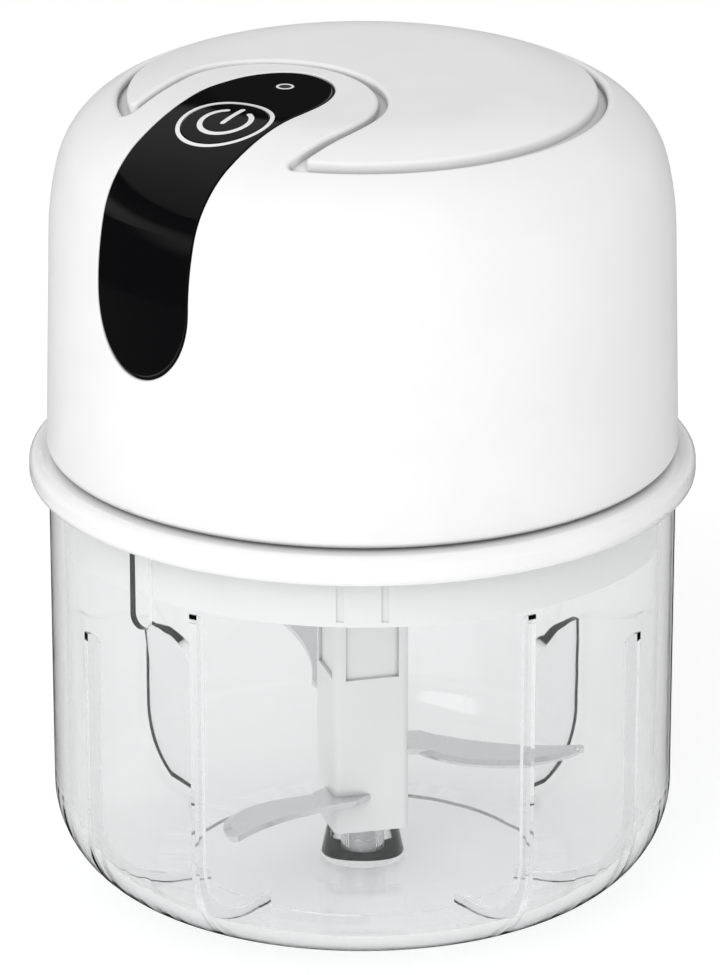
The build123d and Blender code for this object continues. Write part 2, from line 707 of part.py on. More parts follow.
with BuildPart() as push_switch:
    with BuildSketch(button_plane.offset(-BOARD_DEPTH)):
        RectangleRounded(SWITCH_SIDE, SWITCH_SIDE, 0.5)
    extrude(amount=BOARD_DEPTH - SWITCH_TOP)
    with BuildSketch(button_plane.offset(-SWITCH_TOP)):
        Circle(PLUNGER_R + 0.1)
    extrude(amount=-PLUNGER_WELL, mode=Mode.SUBTRACT)
keep(push_switch, "push_switch")

# switch board, parallel to the button, reaching under the status light
with BuildPart() as switch_board:
    with BuildSketch(button_plane.offset(-BOARD_DEPTH)):
        with Locations((SWITCH_BOARD_X, (BOARD_IN + BOARD_OUT) / 2)):
            RectangleRounded(SWITCH_BOARD_W, BOARD_IN - BOARD_OUT, 1.0)
        for x, y, top in POSTS:
            with Locations((x, y)):
                Circle(POST_IN + 0.1, mode=Mode.SUBTRACT)
    extrude(amount=-SWITCH_BOARD_T)
keep(switch_board, "switch_board")

with BuildPart() as switch_board_screws:
    board_back = button_plane.offset(-BOARD_DEPTH - SWITCH_BOARD_T)
    for x, y, top in POSTS:
        with BuildSketch(board_back.offset(-SMALL_HEAD_H)):
            with Locations((x, y)):
                Circle(SMALL_HEAD_R)
        extrude(amount=SMALL_HEAD_H)
        with BuildSketch(board_back.offset(-SMALL_HEAD_H)):
            with Locations((x, y)):
                Rectangle(5 * SMALL_SLOT, SMALL_SLOT)
                Rectangle(SMALL_SLOT, 5 * SMALL_SLOT)
        extrude(amount=SMALL_SLOT, mode=Mode.SUBTRACT)
        with BuildSketch(board_back):
            with Locations((x, y)):
                Circle(POST_IN)
        extrude(amount=POST_BORE)
keep(switch_board_screws, "switch_board_screws")

with BuildPart() as led_lens:
    with BuildSketch(Plane.XY.offset(LED_LOW)):
        with Locations(LED_AT):
            Circle(LED_R)
    extrude(amount=8)
    add(dome_outer, mode=Mode.INTERSECT)
keep(led_lens, "led_lens")

led_local = button_plane.to_local_coords(Vector(LED_AT[0], LED_AT[1], 109.5))
with BuildPart() as status_led:
    with BuildSketch(button_plane.offset(-BOARD_DEPTH)):
        with Locations((led_local.X, led_local.Y)):
            Rectangle(LIGHT_W, LIGHT_D)
    extrude(amount=LIGHT_H)
keep(status_led, "status_led")

# ---------------------------------------------------------------- dome
with BuildPart() as dome:
    with BuildSketch(Plane.XZ):
        dome_face(0)
    revolve(axis=Axis.Z)
    fillet(dome.edges().group_by(Axis.Z)[0], radius=DOME_FOOT_ROUND)
    with BuildSketch(Plane.XZ):
        dome_face(SHELL)
    revolve(axis=Axis.Z, mode=Mode.SUBTRACT)
    # posts for the base screws, tied to the wall by webs
    for azimuth in SCREW_AZ:
        with BuildSketch(Plane.XY.offset(BASE_TOP)):
            spot = radial(azimuth) * SCREW_R
            with Locations((spot.X, spot.Y)):
                Circle(POST_R)
            middle = radial(azimuth) * (SCREW_R + WEB_SHIFT)
            with Locations(Location((middle.X, middle.Y, 0), (0, 0, azimuth - 90))):
                Rectangle(WEB_L, WEB_W)
        extrude(amount=POST_TOP - BASE_TOP)
        with BuildSketch(Plane.XY.offset(BASE_TOP)):
            with Locations((spot.X, spot.Y)):
                Circle(SCREW_BORE_R)
        extrude(amount=SCREW_BORE, mode=Mode.SUBTRACT)
    for x, y, top in POSTS:
        with BuildSketch(button_plane.offset(-BOARD_DEPTH)):
            with Locations((x, y)):
                Circle(POST_OUT)
        extrude(amount=BOARD_DEPTH - top)
    with BuildSketch(button_plane.offset(-12)):
        Circle(RING_IN + 0.15)
    extrude(amount=16, mode=Mode.SUBTRACT)
    for x, y, top in POSTS:
        with BuildSketch(button_plane.offset(-BOARD_DEPTH)):
            with Locations((x, y)):
                Circle(POST_IN)
        extrude(amount=POST_BORE, mode=Mode.SUBTRACT)
    with BuildSketch(Plane.XY.offset(LED_LOW - 2)):
        with Locations(LED_AT):
            Circle(LED_R + 0.1)
    extrude(amount=12, mode=Mode.SUBTRACT)
    # charging socket opening at the back
    with BuildSketch(facing_plane(180, 36, USB_Z)):
        SlotOverall(USB_W + USB_PLAY, USB_H + USB_PLAY)
    extrude(amount=12, mode=Mode.SUBTRACT)
    add(strip_seat.part, mode=Mode.SUBTRACT)
    fillet(edges_on_top(dome.edges(Select.LAST)), radius=STRIP_LIP)
    add(plate_seat.part, mode=Mode.SUBTRACT)
    fillet(edges_on_top(dome.edges(Select.LAST)), radius=GROOVE_ROUND)
keep(dome, "dome")

# ---------------------------------------------------------------- base plate
with BuildPart() as base_plate:
    with BuildSketch(Plane.XY.offset(BASE_LOW)):
        Circle(SIDE_R - SHELL - 0.2)
    extrude(amount=BASE_T)
    with BuildSketch(Plane.XY.offset(BASE_LOW)):
        Circle(WELL_R - 0.4)
        Circle(WELL_R - 2.0, mode=Mode.SUBTRACT)
    extrude(amount=-4.0)
    for side in (-1, 1):
        with BuildSketch(Plane.XY.offset(BASE_TOP)):
            with Locations((side * RIB_X, sum(CRADLE) / 2)):
                Rectangle(2.0, CRADLE[1] - CRADLE[0])
        extrude(amount=CELL_AT[1] - BASE_TOP)
        # bracket cheeks of the safety switch
        with BuildSketch(Plane.XY.offset(BASE_TOP)):
            with Locations((side * CHEEK_X, LOCK_Y)):
                Rectangle(*CHEEK[:2])
        extrude(amount=CHEEK[2])
    with BuildSketch(Plane.YZ):
        with Locations(CELL_AT):
            Circle(CELL_R)
    extrude(amount=30, both=True, mode=Mode.SUBTRACT)
    with BuildSketch(Plane.XY.offset(BASE_TOP)):
        with Locations(BOARD_POSTS):
            Circle(BOARD_POST_R)
    extrude(amount=BOARD_LOW - BASE_TOP)
    with BuildSketch(Plane.XY.offset(BASE_LOW)):
        Circle(BUSH_R)
        with Locations((0, LOCK_Y)):
            Circle(LOCK_R + RUN_FIT)
        with Locations(BOARD_POSTS):
            Circle(BOARD_SCREW_R)
        for azimuth in SCREW_AZ:
            spot = radial(azimuth) * SCREW_R
            with Locations((spot.X, spot.Y)):
                Circle(SCREW_HOLE_R)
    extrude(amount=6, mode=Mode.SUBTRACT)
    with BuildSketch(Plane.XY.offset(BASE_LOW)):
        for azimuth in SCREW_AZ:
            spot = radial(azimuth) * SCREW_R
            with Locations((spot.X, spot.Y)):
                Circle(SCREW_SUNK_R)
    extrude(amount=SCREW_SUNK, mode=Mode.SUBTRACT)
keep(base_plate, "base_plate")

with BuildPart() as base_screws:
    for azimuth in SCREW_AZ:
        spot = radial(azimuth) * SCREW_R
        with BuildSketch(Plane.XY.offset(BASE_LOW + SCREW_SUNK - SCREW_HEAD_H)):
            with Locations((spot.X, spot.Y)):
                Circle(SCREW_HEAD_R)
        extrude(amount=SCREW_HEAD_H)
        with BuildSketch(Plane.XY.offset(BASE_LOW + SCREW_SUNK - SCREW_HEAD_H)):
            with Locations((spot.X, spot.Y)):
                Rectangle(3 * SCREW_HEAD_H, 0.6 * SCREW_HEAD_H)
                Rectangle(0.6 * SCREW_HEAD_H, 3 * SCREW_HEAD_H)
        extrude(amount=SCREW_HEAD_H / 2, mode=Mode.SUBTRACT)
        with BuildSketch(Plane.XY.offset(BASE_LOW + SCREW_SUNK)):
            with Locations((spot.X, spot.Y)):
                Circle(SCREW_BORE_R)
        extrude(amount=SCREW_BORE)
keep(base_screws, "base_screws")

with BuildPart() as interlock_pin:
    with BuildSketch(Plane.XY.offset(LOCK_LOW)):
        with Locations((0, LOCK_Y)):
            Circle(LOCK_R)
    extrude(amount=LOCK_L)
    with BuildSketch(Plane.XY.offset(LOCK_FLANGE)):
        with Locations((0, LOCK_Y)):
            Circle(LOCK_FLANGE_R)
    extrude(amount=LOCK_FLANGE_H)
    chamfer(interlock_pin.edges().group_by(Axis.Z)[0], length=0.2 * LOCK_R)
keep(interlock_pin, "interlock_pin")

with BuildPart() as safety_switch:
    with BuildSketch(Plane.XY.offset(SAFETY_LOW)):
        with Locations((0, LOCK_Y)):
            Rectangle(SAFETY_W, SAFETY_D)
    extrude(amount=SAFETY_H)
    with BuildSketch(Plane.XY.offset(SAFETY_LOW - KEY_BUTTON[2])):
        with Locations((KEY_BUTTON_X, LOCK_Y)):
            Rectangle(*KEY_BUTTON[:2])
    extrude(amount=KEY_BUTTON[2])
    with BuildSketch(Plane.XY.offset(SAFETY_LOW + SAFETY_H)):
        with Locations((-LEG_X, LOCK_Y), (0, LOCK_Y), (LEG_X, LOCK_Y)):
            Rectangle(*LEG[:2])
    extrude(amount=LEG[2])
keep(safety_switch, "safety_switch")


# ---------------------------------------------------------------- planetary drive
def involute(base_r, radius):
    """Angle swept by an involute of a base circle out to a radius."""
    if radius <= base_r:
        return 0.0
    roll = sqrt((radius / base_r) ** 2 - 1)
    return roll - acos(base_r / radius)


def gear_face(teeth, root_r, tip_r, play):
    """Spur gear outline with a tooth centred on local +x; play is taken off each flank."""
    pitch_r = MODULE * teeth / 2
    base_r = pitch_r * cos(radians(PRESSURE))
    half = pi / (2 * teeth) - play / pitch_r + involute(base_r, pitch_r)
    low = max(root_r, base_r)
    radii = [low + (tip_r - low) * step / FLANK_STEPS for step in range(FLANK_STEPS + 1)]
    angles = [half - involute(base_r, r) for r in radii]
    corners = []
    for tooth in range(teeth):
        middle = 2 * pi * tooth / teeth
        lower = [(r, middle - a) for r, a in zip(radii, angles)]
        upper = [(r, middle + a) for r, a in zip(reversed(radii), reversed(angles))]
        foot_a = [(root_r, middle - angles[0])] if root_r < low else []
        foot_b = [(root_r, middle + angles[0])] if root_r < low else []
        corners += [(r * cos(a), r * sin(a)) for r, a in foot_a + lower + upper + foot_b]
    with BuildLine() as edge:
        Polyline(*corners, close=True)
    make_face(edge.edges())


sun_pitch = MODULE * SUN_Z / 2
planet_pitch = MODULE * PLANET_Z / 2
ring_pitch = MODULE * RING_Z / 2

with BuildPart() as gear_cup:
    with BuildSketch(Plane.XY.offset(BASE_TOP)):
        Circle(CUP_R)
    extrude(amount=COVER_LOW - BASE_TOP)
    with BuildSketch(Plane.XY.offset(BASE_TOP + CUP_FLOOR)):
        Circle(ring_pitch + DED + 0.1)
    extrude(amount=COVER_LOW - BASE_TOP, mode=Mode.SUBTRACT)
    with BuildSketch(Plane.XY.offset(CARRIER_TOP + 0.3)):
        Circle(CUP_R - CUP_WALL)
    extrude(amount=COVER_LOW - CARRIER_TOP, mode=Mode.SUBTRACT)
    with BuildSketch(Plane.XY.offset(BASE_TOP)):
        Circle(BUSH_R)
    extrude(amount=2 * CUP_FLOOR, mode=Mode.SUBTRACT)
keep(gear_cup, "gear_cup")

with BuildPart() as ring_gear:
    with BuildSketch(Plane.XY.offset(CARRIER_TOP + 0.3)):
        Circle(CUP_R - CUP_WALL)
    extrude(amount=COVER_LOW - CARRIER_TOP - 0.3)
    with BuildSketch(Plane.XY.offset(CARRIER_TOP)):
        gear_face(RING_Z, ring_pitch - ADD, ring_pitch + DED, -TOOTH_PLAY)
    extrude(amount=COVER_LOW - CARRIER_TOP + 1, mode=Mode.SUBTRACT)
keep(ring_gear, "ring_gear")

with BuildPart() as gear_cover:
    with BuildSketch(Plane.XY.offset(COVER_LOW)):
        Circle(CUP_R)
        Circle(OUTPUT_R, mode=Mode.SUBTRACT)
        with Locations((-MOTOR_SCREW_X, 0), (MOTOR_SCREW_X, 0)):
            Circle(SHAFT_R + 0.1, mode=Mode.SUBTRACT)
    extrude(amount=MOTOR_LOW - COVER_LOW)
keep(gear_cover, "gear_cover")

with BuildPart() as output_bushing:
    with BuildSketch(Plane.XY.offset(BASE_LOW - BUSH_LIP)):
        Circle(BUSH_LIP_R)
    extrude(amount=BUSH_LIP)
    with BuildSketch(Plane.XY.offset(BASE_LOW)):
        Circle(BUSH_R)
    extrude(amount=BUSH_H)
    with BuildSketch(Plane.XY.offset(BASE_LOW - BUSH_LIP)):
        Circle(OUTPUT_R + RUN_FIT)
    extrude(amount=BUSH_LIP + BUSH_H + 1, mode=Mode.SUBTRACT)
keep(output_bushing, "output_bushing")

with BuildPart() as planet_carrier:
    with BuildSketch(Plane.XY.offset(CARRIER_LOW)):
        Circle(CARRIER_OUT)
        Circle(OUTPUT_R, mode=Mode.SUBTRACT)
    extrude(amount=CARRIER_TOP - CARRIER_LOW)
    with BuildSketch(Plane.XY.offset(CARRIER_TOP)):
        with PolarLocations(CARRIER_R, 3):
            Circle(PEG_R)
    extrude(amount=PLANET_TOP + PEG_PROUD - CARRIER_TOP)
keep(planet_carrier, "planet_carrier")

with BuildPart() as output_shaft:
    with BuildSketch(Plane.XY.offset(OUTPUT_LOW)):
        Circle(OUTPUT_R)
    extrude(amount=CARRIER_TOP - OUTPUT_LOW)
    with BuildSketch(Plane.XY.offset(DOG_LOW)):
        RegularPolygon(DOG_AF / 2, 6, major_radius=False)
    extrude(amount=OUTPUT_LOW - DOG_LOW)
    chamfer(output_shaft.edges().group_by(Axis.Z)[0], length=0.5)
keep(output_shaft, "output_shaft")

for index, name in enumerate(("planet_a", "planet_b", "planet_c")):
    angle = 120 * index
    spot = Plane(origin=(CARRIER_R * cos(radians(angle)), CARRIER_R * sin(radians(angle)), PLANET_LOW),
                 x_dir=(cos(radians(angle)), sin(radians(angle)), 0), z_dir=(0, 0, 1))
    with BuildPart() as planet:
        with BuildSketch(spot):
            gear_face(PLANET_Z, planet_pitch - DED, planet_pitch + ADD, TOOTH_PLAY)
            Circle(PEG_R + RUN_FIT, mode=Mode.SUBTRACT)
        extrude(amount=PLANET_TOP - PLANET_LOW)
    keep(planet, name)

with BuildPart() as sun_gear:
    with BuildSketch(Plane.XY.offset(PLANET_LOW)):
        gear_face(SUN_Z, sun_pitch - DED, sun_pitch + ADD, TOOTH_PLAY)
        Circle(SHAFT_R, mode=Mode.SUBTRACT)
    extrude(amount=PLANET_TOP - PLANET_LOW)
keep(sun_gear, "sun_gear")

with BuildPart() as motor_shaft:
    with BuildSketch(Plane.XY.offset(PLANET_LOW + 0.2)):
        Circle(SHAFT_R)
    extrude(amount=SHAFT_TOP - PLANET_LOW - 0.2)
keep(motor_shaft, "motor_shaft")

with BuildPart() as armature:
    with BuildSketch(Plane.XY.offset(ARMATURE_LOW)):
        Circle(ARMATURE_R)
        with PolarLocations(ARMATURE_R, 3, start_angle=60):
            Rectangle(*SLOT_MOUTH, mode=Mode.SUBTRACT)
        with PolarLocations(SLOT_ROUND_AT, 3, start_angle=60):
            Circle(SLOT_ROUND_R, mode=Mode.SUBTRACT)
        Circle(SHAFT_R, mode=Mode.SUBTRACT)
    extrude(amount=ARMATURE_H)
keep(armature, "armature")

with BuildPart() as commutator:
    with BuildSketch(Plane.XY.offset(COMMUTATOR_LOW)):
        Circle(COMMUTATOR_R)
        with PolarLocations(COMMUTATOR_R, 3):
            Rectangle(3 * SEGMENT_GAP, SEGMENT_GAP, mode=Mode.SUBTRACT)
        Circle(SHAFT_R, mode=Mode.SUBTRACT)
    extrude(amount=COMMUTATOR_H)
keep(commutator, "commutator")

with BuildPart() as motor_can:
    with BuildSketch(Plane.XY.offset(MOTOR_LOW)):
        Circle(MOTOR_R)
    extrude(amount=MOTOR_TOP - MOTOR_LOW)
    fillet(motor_can.edges().group_by(Axis.Z)[0], radius=CAN_ROUND)
    with BuildSketch(Plane.XY.offset(MOTOR_LOW + CAN_FLOOR)):
        Circle(MOTOR_R - CAN_T)
    extrude(amount=MOTOR_TOP - MOTOR_LOW, mode=Mode.SUBTRACT)
    with BuildSketch(Plane.XY.offset(COVER_LOW)):
        Circle(OUTPUT_R)
    extrude(amount=MOTOR_LOW + CAN_FLOOR - COVER_LOW)
    with BuildSketch(Plane.XY.offset(COVER_LOW)):
        Circle(SHAFT_R + RUN_FIT)
        with Locations((-MOTOR_SCREW_X, 0), (MOTOR_SCREW_X, 0)):
            Circle(SHAFT_R)
    extrude(amount=4 * CAN_FLOOR, mode=Mode.SUBTRACT)
keep(motor_can, "motor_can")

with BuildPart() as motor_screws:
    with BuildSketch(Plane.XY.offset(COVER_LOW - 0.35)):
        with Locations((-MOTOR_SCREW_X, 0), (MOTOR_SCREW_X, 0)):
            Circle(SHAFT_R)
    extrude(amount=2.6 * CAN_FLOOR)
keep(motor_screws, "motor_screws")

with BuildPart() as motor_magnets:
    for turn in (0, 180):
        with BuildSketch(Plane.XY.offset(MAGNET_LOW)):
            with BuildLine():
                first = turn - MAGNET_ARC / 2
                outer = CenterArc((0, 0), MOTOR_R - CAN_T, first, MAGNET_ARC)
                inner = CenterArc((0, 0), MOTOR_R - CAN_T - MAGNET_T, first, MAGNET_ARC)
                Line(outer @ 0, inner @ 0)
                Line(outer @ 1, inner @ 1)
            make_face()
        extrude(amount=MAGNET_H)
keep(motor_magnets, "motor_magnets")

with BuildPart() as motor_cap:
    with BuildSketch(Plane.XY.offset(CAP_LOW)):
        Circle(MOTOR_R - CAN_T)
    extrude(amount=CAP_H)
    with BuildSketch(Plane.XY.offset(CAP_LOW + CAP_H)):
        Circle(OUTPUT_R)
    extrude(amount=CAP_BOSS_H)
    with BuildSketch(Plane.XY.offset(CAP_LOW)):
        Circle(SHAFT_R + RUN_FIT)
        with Locations((-TERMINAL_X, 0), (TERMINAL_X, 0)):
            Rectangle(*TERMINAL)
    extrude(amount=TERMINAL_H, mode=Mode.SUBTRACT)
keep(motor_cap, "motor_cap")

with BuildPart() as motor_terminals:
    with BuildSketch(Plane.XY.offset(CAP_LOW)):
        with Locations((-TERMINAL_X, 0), (TERMINAL_X, 0)):
            Rectangle(*TERMINAL)
    extrude(amount=TERMINAL_H)
keep(motor_terminals, "motor_terminals")

# ---------------------------------------------------------------- battery and boards
with BuildPart() as cell:
    with BuildSketch(Plane.YZ.offset(-CELL_L / 2)):
        with Locations(CELL_AT):
            Circle(CELL_R)
    extrude(amount=CELL_L - CELL_BUTTON)
    fillet(cell.edges(), radius=CELL_ROUND)
    with BuildSketch(Plane.YZ.offset(CELL_L / 2 - CELL_BUTTON)):
        with Locations(CELL_AT):
            Circle(CELL_BUTTON_R)
    extrude(amount=CELL_BUTTON)
keep(cell, "cell")

with BuildPart() as cell_tabs:
    for side in (-1, 1):
        with BuildSketch(Plane.YZ.offset(side * CELL_L / 2)):
            with Locations((CELL_AT[0], CELL_AT[1] - TAB_DROP)):
                Rectangle(*TAB)
        extrude(amount=side * TAB_T)
keep(cell_tabs, "cell_tabs")

with BuildPart() as main_board:
    with BuildSketch(Plane.XY.offset(BOARD_LOW)):
        with Locations((0, BOARD_Y)):
            RectangleRounded(BOARD_W, BOARD_D, 1.0)
        with Locations(BOARD_POSTS):
            Circle(BOARD_SCREW_R + 0.1, mode=Mode.SUBTRACT)
    extrude(amount=BOARD_T)
keep(main_board, "main_board")

with BuildPart() as board_chips:
    with BuildSketch(Plane.XY.offset(BOARD_LOW + BOARD_T)):
        with Locations((-4.5, 28.5)):
            Rectangle(5.0, 4.0)
        with Locations((4.0, 27.0)):
            Rectangle(6.0, 5.0)
        with Locations((-8.5, 34.0), (8.5, 34.0), (0.0, 21.5)):
            Rectangle(2.0, 1.2)
    extrude(amount=CHIP_H)
keep(board_chips, "board_chips")

with BuildPart() as board_screws:
    with BuildSketch(Plane.XY.offset(BOARD_LOW + BOARD_T)):
        with Locations(BOARD_POSTS):
            Circle(BOARD_HEAD_R)
    extrude(amount=BOARD_HEAD_H)
    with BuildSketch(Plane.XY.offset(BOARD_LOW + BOARD_T + BOARD_HEAD_H)):
        with Locations(BOARD_POSTS):
            Rectangle(1.26 * BOARD_HEAD_R, SMALL_SLOT)
            Rectangle(SMALL_SLOT, 1.26 * BOARD_HEAD_R)
    extrude(amount=-SMALL_SLOT, mode=Mode.SUBTRACT)
    with BuildSketch(Plane.XY.offset(BOARD_LOW + BOARD_T)):
        with Locations(BOARD_POSTS):
            Circle(BOARD_SCREW_R)
    extrude(amount=-BOARD_SCREW_L)
keep(board_screws, "board_screws")

with BuildPart() as usb_socket:
    with BuildSketch(facing_plane(180, USB_BACK, USB_Z)):
        SlotOverall(USB_W, USB_H)
    extrude(amount=USB_FRONT - USB_BACK)
    with BuildSketch(facing_plane(180, USB_BACK + 1, USB_Z)):
        SlotOverall(USB_W - 2 * USB_SHEET, USB_H - 2 * USB_SHEET)
    extrude(amount=USB_FRONT - USB_BACK, mode=Mode.SUBTRACT)
    with BuildSketch(facing_plane(180, USB_BACK + 0.8, USB_Z)):
        Rectangle(*USB_TONGUE)
    extrude(amount=USB_FRONT - USB_BACK - 1.7)
keep(usb_socket, "usb_socket")


def cable(path, radius):
    """Round cable along a smooth path."""
    with BuildPart() as wire:
        with BuildLine() as line:
            Spline(*path)
        with BuildSketch(Plane(origin=line.line @ 0, z_dir=line.line % 0)):
            Circle(radius)
        sweep(path=line.line)
    return wire


with BuildPart() as motor_wires:
    for side in (-1, 1):
        add(cable([(side * x, y, z) for x, y, z in MOTOR_RUN], WIRE_R).part)
keep(motor_wires, "motor_wires")

with BuildPart() as cell_wires:
    for side in (-1, 1):
        add(cable([(side * x, y, z) for x, y, z in CELL_RUN], WIRE_R).part)
keep(cell_wires, "cell_wires")

with BuildPart() as switch_cable:
    add(cable(SWITCH_RUN, CABLE_R).part)
keep(switch_cable, "switch_cable")
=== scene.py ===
import json
from math import cos, pi, radians, sin

import bmesh
import bpy
from mathutils import Matrix, Vector


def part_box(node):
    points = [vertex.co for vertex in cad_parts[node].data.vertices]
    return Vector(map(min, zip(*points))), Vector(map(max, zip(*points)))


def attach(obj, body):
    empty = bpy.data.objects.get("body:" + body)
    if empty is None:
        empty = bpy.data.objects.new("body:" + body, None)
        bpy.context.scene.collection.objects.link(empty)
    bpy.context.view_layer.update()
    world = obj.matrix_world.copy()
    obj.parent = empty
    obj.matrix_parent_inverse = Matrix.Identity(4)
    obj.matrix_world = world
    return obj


# Cordless mini food processor: finishes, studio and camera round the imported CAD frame.
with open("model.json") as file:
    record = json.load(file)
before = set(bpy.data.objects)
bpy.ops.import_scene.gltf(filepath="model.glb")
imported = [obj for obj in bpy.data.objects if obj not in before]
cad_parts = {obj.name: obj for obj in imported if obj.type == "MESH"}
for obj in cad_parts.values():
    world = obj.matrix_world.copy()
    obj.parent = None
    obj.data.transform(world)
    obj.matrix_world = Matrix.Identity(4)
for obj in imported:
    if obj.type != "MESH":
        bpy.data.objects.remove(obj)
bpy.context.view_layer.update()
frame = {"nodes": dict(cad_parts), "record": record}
MM = 0.001
NOISE_LOW, NOISE_HIGH = 0.3, 0.7        # the range that most of a noise pattern lies in
# occlusion levels between which the painted crease shade fades from darkest to none
SHUT, OPEN = 0.25, 0.85                 # ambient occlusion deep in a groove, and beside it


# ---------------------------------------------------------------- material tools
def new_material(name, blend=False):
    """An empty node material with its Principled shader."""
    made = bpy.data.materials.new("finish_" + name)
    made.use_nodes = True
    shader = made.node_tree.nodes["Principled BSDF"]
    return made, made.node_tree, shader


def add_node(tree, kind, **values):
    """A node with its input sockets set by name (underscores stand for spaces)."""
    node = tree.nodes.new(kind)
    for key, value in values.items():
        node.inputs[key.replace("_", " ")].default_value = value
    return node


def surface_noise(tree, feature, stretch=(1, 1, 1), detail=4.0, rough=0.55, warp=0.0):
    """Noise in object space whose features are about `feature` millimetres wide."""
    place = tree.nodes.new("ShaderNodeTexCoord")
    scale = add_node(tree, "ShaderNodeMapping", Scale=stretch)
    noise = add_node(tree, "ShaderNodeTexNoise", Scale=1 / (feature * MM), Detail=detail,
                     Roughness=rough, Distortion=warp)
    tree.links.new(place.outputs["Object"], scale.inputs["Vector"])
    tree.links.new(scale.outputs["Vector"], noise.inputs["Vector"])
    return noise.outputs["Fac"]


def vary(tree, source, low, high, socket):
    """Drives a number socket between low and high from a 0-1 pattern."""
    spread = add_node(tree, "ShaderNodeMapRange", From_Min=NOISE_LOW, From_Max=NOISE_HIGH, To_Min=low,
                      To_Max=high)
    tree.links.new(source, spread.inputs["Value"])
    tree.links.new(spread.outputs["Result"], socket)


def tint(tree, source, low, high, socket, start=0.35, end=0.65):
    """Drives a colour socket between two colours from a 0-1 pattern."""
    ramp = tree.nodes.new("ShaderNodeValToRGB")
    ramp.color_ramp.elements[0].position = start
    ramp.color_ramp.elements[0].color = (*low, 1)
    ramp.color_ramp.elements[1].position = end
    ramp.color_ramp.elements[1].color = (*high, 1)
    tree.links.new(source, ramp.inputs["Fac"])
    tree.links.new(ramp.outputs["Color"], socket)


def relief(tree, shader, source, height, strength=1.0):
    """Bump of the given height in millimetres from a 0-1 pattern."""
    bump = add_node(tree, "ShaderNodeBump", Strength=strength, Distance=height * MM)
    tree.links.new(source, bump.inputs["Height"])
    tree.links.new(bump.outputs["Normal"], shader.inputs["Normal"])


def shade(colour, factor):
    """A colour made lighter or darker."""
    return tuple(min(1.0, c * factor) for c in colour)


# ---------------------------------------------------------------- finishes
def paint_crease_shade(tree, colour, socket, reach, depth):
    """Paints shade into a colour output: multiplies it by a darker tone deep in narrow grooves and
    gaps, found by ambient occlusion.
    """
    shut = add_node(tree, "ShaderNodeAmbientOcclusion", Distance=reach * MM)
    amount = add_node(tree, "ShaderNodeMapRange", From_Min=SHUT, From_Max=OPEN, To_Min=depth,
                      To_Max=1.0)
    darker = tree.nodes.new("ShaderNodeVectorMath")
    darker.operation = "MULTIPLY"
    tree.links.new(shut.outputs["AO"], amount.inputs["Value"])
    tree.links.new(colour, darker.inputs[0])
    tree.links.new(amount.outputs["Result"], darker.inputs[1])
    tree.links.new(darker.outputs["Vector"], socket)


def moulded(name, colour, rough, grain, grain_height, swirl=0.012, specular=0.5, painted_shade=None):
    """Moulded plastic: faint flow marks, a fine spark-eroded grain, painted shade in grooves if
    asked.
    """
    made, tree, shader = new_material(name)
    flow = surface_noise(tree, 14.0, detail=2.0, warp=0.6)
    tint(tree, flow, shade(colour, 1 - swirl), shade(colour, 1 + swirl), shader.inputs["Base Color"])
    # painted shade: the base colour is darkened in grooves and gaps by an ambient-occlusion node
    if painted_shade:
        mixed = shader.inputs["Base Color"].links[0].from_socket
        paint_crease_shade(tree, mixed, shader.inputs["Base Color"], *painted_shade)
    vary(tree, surface_noise(tree, 3.0), rough - 0.03, rough + 0.03, shader.inputs["Roughness"])
    relief(tree, shader, surface_noise(tree, grain, detail=3.0), grain_height)
    shader.inputs["Specular IOR Level"].default_value = specular
    return made


def metal(name, colour, rough, brush=(1, 1, 14), grain=0.25, height=0.004, spread=0.07):
    """Metal with fine parallel grinding lines and slightly uneven polish."""
    made, tree, shader = new_material(name)
    lines = surface_noise(tree, grain, stretch=brush, detail=5.0, rough=0.7)
    tint(tree, lines, shade(colour, 0.93), shade(colour, 1.05), shader.inputs["Base Color"])
    vary(tree, surface_noise(tree, 2.5, stretch=brush), rough - spread, rough + spread,
         shader.inputs["Roughness"])
    relief(tree, shader, lines, height)
    shader.inputs["Metallic"].default_value = 1.0
    return made


def clear(name, colour, rough, ior):
    """Clear moulded plastic with faint flow lines in its gloss; lamps and bounced light pass it."""
    made, tree, shader = new_material(name)
    flow = surface_noise(tree, 9.0, detail=2.0, warp=0.8)
    tint(tree, flow, shade(colour, 0.992), colour, shader.inputs["Base Color"])
    vary(tree, surface_noise(tree, 4.0), max(rough - 0.01, 0.0), rough + 0.01,
         shader.inputs["Roughness"])
    relief(tree, shader, surface_noise(tree, 6.0, detail=1.0), 0.006)
    shader.inputs["Transmission Weight"].default_value = 1.0
    shader.inputs["IOR"].default_value = ior
    rays = tree.nodes.new("ShaderNodeLightPath")
    thin = add_node(tree, "ShaderNodeBsdfTransparent", Color=(0.96, 0.965, 0.965, 1))
    seen = shader.outputs["BSDF"]
    for kind in ("Is Shadow Ray", "Is Diffuse Ray"):
        both = tree.nodes.new("ShaderNodeMixShader")
        tree.links.new(rays.outputs[kind], both.inputs["Fac"])
        tree.links.new(seen, both.inputs[1])
        tree.links.new(thin.outputs["BSDF"], both.inputs[2])
        seen = both.outputs["Shader"]
    tree.links.new(seen, tree.nodes["Material Output"].inputs["Surface"])
    return made


def circuit(name, colour):
    """Circuit board: solder mask over a faint grid of copper traces."""
    made, tree, shader = new_material(name)
    place = tree.nodes.new("ShaderNodeTexCoord")
    traces = add_node(tree, "ShaderNodeTexBrick", Scale=1 / (9 * MM), Mortar_Size=0.03,
                      Color1=(*colour, 1), Color2=(*shade(colour, 0.8), 1),
                      Mortar=(*shade(colour, 1.9), 1))
    tree.links.new(place.outputs["Object"], traces.inputs["Vector"])
    tree.links.new(traces.outputs["Color"], shader.inputs["Base Color"])
    vary(tree, surface_noise(tree, 1.5), 0.28, 0.42, shader.inputs["Roughness"])
    relief(tree, shader, traces.outputs["Fac"], 0.03)
    return made


